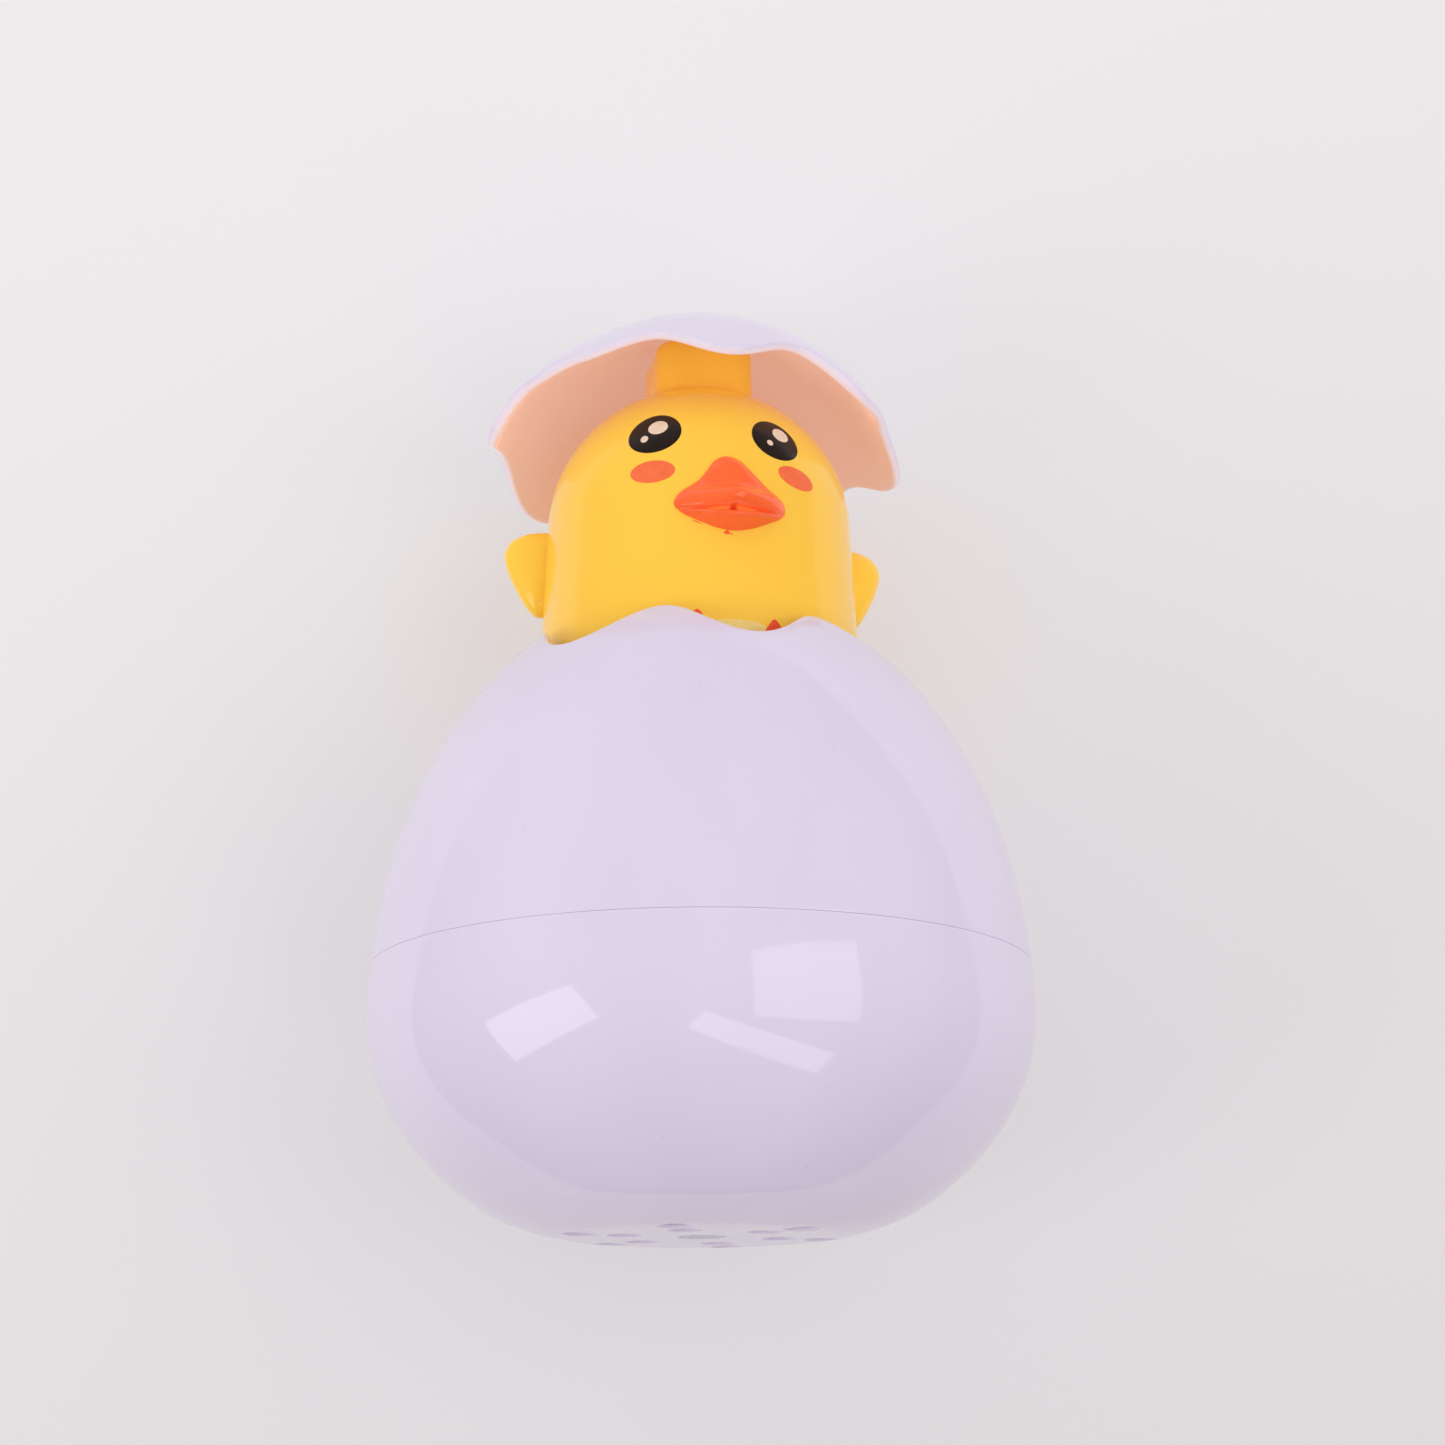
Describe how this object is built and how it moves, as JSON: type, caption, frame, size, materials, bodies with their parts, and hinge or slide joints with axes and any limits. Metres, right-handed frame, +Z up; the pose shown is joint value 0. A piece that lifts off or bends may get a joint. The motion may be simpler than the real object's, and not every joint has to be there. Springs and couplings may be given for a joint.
{
  "type": "hatching chick egg bath toy",
  "caption": "Egg-shaped plastic bath toy with a chick that slides up out of the shell on a guide post, wearing the egg's broken top as a cap.",
  "frame": {"origin": "middle of the egg's flat base, on the surface that the toy stands on", "axes": "+Z up along the egg's axis; the chick faces -Y; +X is the chick's left side"},
  "size_m": [0.096, 0.096, 0.139],
  "materials": {
    "shell": "glossy pale lavender",
    "chick": "glossy warm yellow",
    "carrier": "plain white moulding",
    "foam": "white closed-cell foam",
    "tube": "soft clear tube",
    "screw": "stainless self-tapping screw"
  },
  "bodies": {
    "egg": {"lower_shell": "shell", "upper_shell": "shell", "guide_post": "carrier", "post_screw": "screw"},
    "chick": {"chick_body": "chick", "wing_left": "chick", "wing_right": "chick", "carrier_plate": "carrier", "foam_float": "foam", "squirt_tube": "tube", "plate_screws": "screw", "cap_shell": "shell", "cap_screw": "screw"}
  },
  "joints": [
    {"name": "chick_slide", "type": "slide", "parent": "egg", "child": "chick", "axis": [0, 0, 1], "range_m": [-0.033, 0]}
  ]
}
